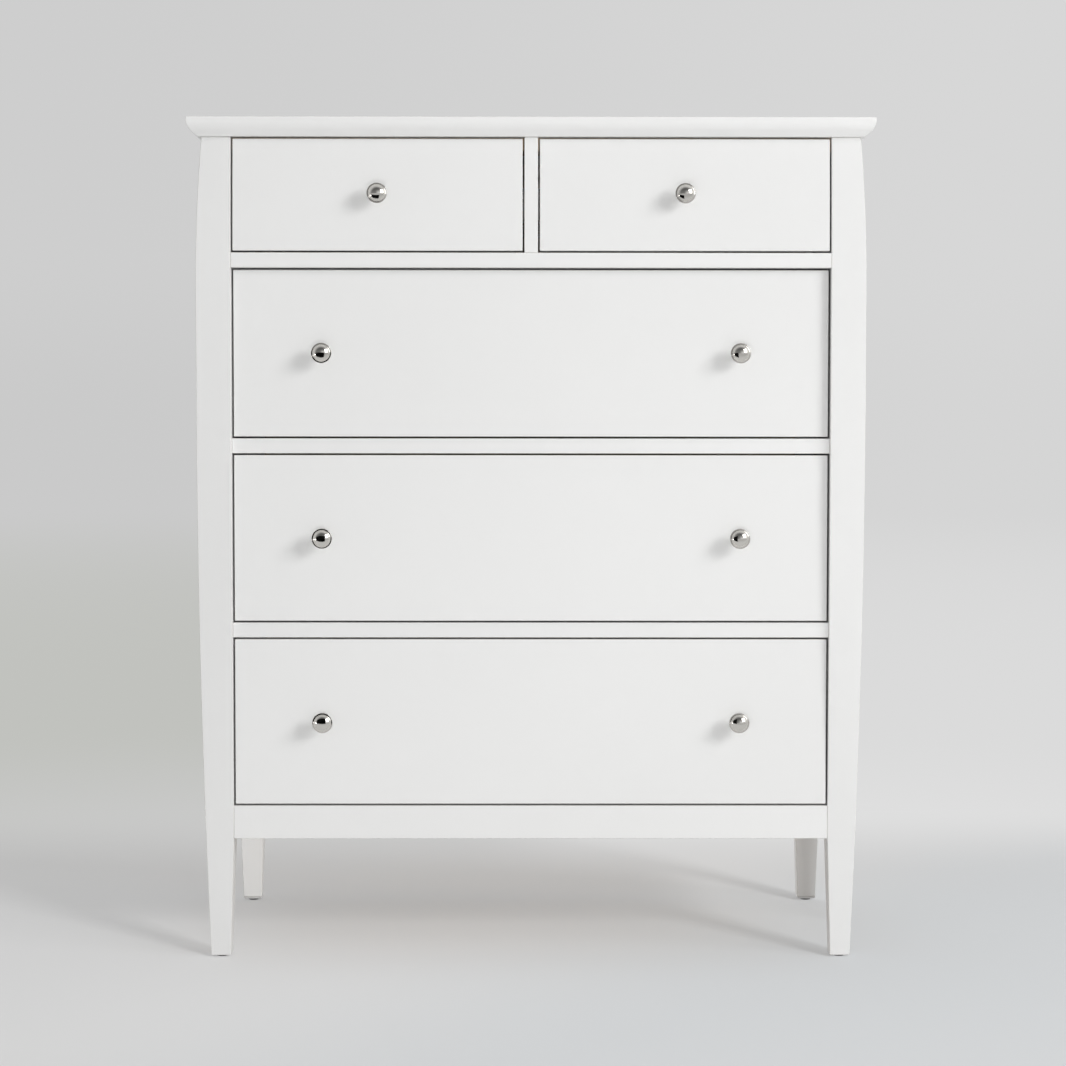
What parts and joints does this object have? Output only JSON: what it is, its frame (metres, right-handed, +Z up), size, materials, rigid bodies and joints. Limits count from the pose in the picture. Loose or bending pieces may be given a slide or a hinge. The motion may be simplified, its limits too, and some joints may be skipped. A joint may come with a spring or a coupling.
{
  "type": "tall chest of drawers",
  "caption": "Tall white lacquered chest: small drawers side by side over wide ones, bowed corner posts on tapered legs, moulded overhanging top, round nickel knobs.",
  "frame": {"origin": "on the floor, under the middle of the whole width and of the whole depth from the foremost knob to the back edge of the top", "axes": "+X to the right as seen from the front, +Y from the front to the back, +Z up; drawers pull out along -Y"},
  "size_m": [0.958, 0.477, 1.181],
  "materials": {
    "white_lacquer": "satin white lacquer on wood",
    "drawer_wood": "clear sealed light birch",
    "panel_board": "clear sealed plywood",
    "nickel": "polished nickel plate",
    "zinc_steel": "bright zinc plate",
    "black_glide": "moulded black plastic"
  },
  "bodies": {
    "case": {"top_panel": "white_lacquer", "front_left_post": "white_lacquer", "front_right_post": "white_lacquer", "rear_left_post": "white_lacquer", "rear_right_post": "white_lacquer", "left_side_panel": "white_lacquer", "right_side_panel": "white_lacquer", "back_panel": "panel_board", "bottom_panel": "panel_board", "apron": "white_lacquer", "upper_rail": "white_lacquer", "middle_rail": "white_lacquer", "lower_rail": "white_lacquer", "centre_stile": "white_lacquer", "centre_divider": "drawer_wood", "stretchers": "drawer_wood", "runner_blocks": "drawer_wood", "case_runners": "zinc_steel", "case_screws": "zinc_steel", "foot_glides": "black_glide"},
    "top_left_drawer": {"top_left_drawer_front": "white_lacquer", "top_left_drawer_sides": "drawer_wood", "top_left_drawer_ends": "drawer_wood", "top_left_drawer_bottom": "panel_board", "top_left_knob": "nickel", "top_left_drawer_screws": "zinc_steel", "top_left_drawer_runners": "zinc_steel"},
    "top_left_middle": {"top_left_middle_runners": "zinc_steel"},
    "top_right_drawer": {"top_right_drawer_front": "white_lacquer", "top_right_drawer_sides": "drawer_wood", "top_right_drawer_ends": "drawer_wood", "top_right_drawer_bottom": "panel_board", "top_right_knob": "nickel", "top_right_drawer_screws": "zinc_steel", "top_right_drawer_runners": "zinc_steel"},
    "top_right_middle": {"top_right_middle_runners": "zinc_steel"},
    "second_drawer": {"second_drawer_front": "white_lacquer", "second_drawer_sides": "drawer_wood", "second_drawer_ends": "drawer_wood", "second_drawer_bottom": "panel_board", "second_knobs": "nickel", "second_drawer_screws": "zinc_steel", "second_drawer_runners": "zinc_steel"},
    "second_middle": {"second_middle_runners": "zinc_steel"},
    "third_drawer": {"third_drawer_front": "white_lacquer", "third_drawer_sides": "drawer_wood", "third_drawer_ends": "drawer_wood", "third_drawer_bottom": "panel_board", "third_knobs": "nickel", "third_drawer_screws": "zinc_steel", "third_drawer_runners": "zinc_steel"},
    "third_middle": {"third_middle_runners": "zinc_steel"},
    "bottom_drawer": {"bottom_drawer_front": "white_lacquer", "bottom_drawer_sides": "drawer_wood", "bottom_drawer_ends": "drawer_wood", "bottom_drawer_bottom": "panel_board", "bottom_knobs": "nickel", "bottom_drawer_screws": "zinc_steel", "bottom_drawer_runners": "zinc_steel"},
    "bottom_middle": {"bottom_middle_runners": "zinc_steel"}
  },
  "joints": [
    {"name": "top_left_drawer_slide", "type": "slide", "parent": "case", "child": "top_left_drawer", "axis": [0, -1, 0], "range_m": [0, 0.35]},
    {"name": "top_left_middle_slide", "type": "slide", "parent": "case", "child": "top_left_middle", "axis": [0, -1, 0], "range_m": [0, 0.175]},
    {"name": "top_right_drawer_slide", "type": "slide", "parent": "case", "child": "top_right_drawer", "axis": [0, -1, 0], "range_m": [0, 0.35]},
    {"name": "top_right_middle_slide", "type": "slide", "parent": "case", "child": "top_right_middle", "axis": [0, -1, 0], "range_m": [0, 0.175]},
    {"name": "second_drawer_slide", "type": "slide", "parent": "case", "child": "second_drawer", "axis": [0, -1, 0], "range_m": [0, 0.35]},
    {"name": "second_middle_slide", "type": "slide", "parent": "case", "child": "second_middle", "axis": [0, -1, 0], "range_m": [0, 0.175]},
    {"name": "third_drawer_slide", "type": "slide", "parent": "case", "child": "third_drawer", "axis": [0, -1, 0], "range_m": [0, 0.35]},
    {"name": "third_middle_slide", "type": "slide", "parent": "case", "child": "third_middle", "axis": [0, -1, 0], "range_m": [0, 0.175]},
    {"name": "bottom_drawer_slide", "type": "slide", "parent": "case", "child": "bottom_drawer", "axis": [0, -1, 0], "range_m": [0, 0.35]},
    {"name": "bottom_middle_slide", "type": "slide", "parent": "case", "child": "bottom_middle", "axis": [0, -1, 0], "range_m": [0, 0.175]}
  ],
  "couplings": [
    {"joint": "top_left_middle_slide", "follows": "top_left_drawer_slide", "ratio": 0.5},
    {"joint": "top_right_middle_slide", "follows": "top_right_drawer_slide", "ratio": 0.5},
    {"joint": "second_middle_slide", "follows": "second_drawer_slide", "ratio": 0.5},
    {"joint": "third_middle_slide", "follows": "third_drawer_slide", "ratio": 0.5},
    {"joint": "bottom_middle_slide", "follows": "bottom_drawer_slide", "ratio": 0.5}
  ]
}
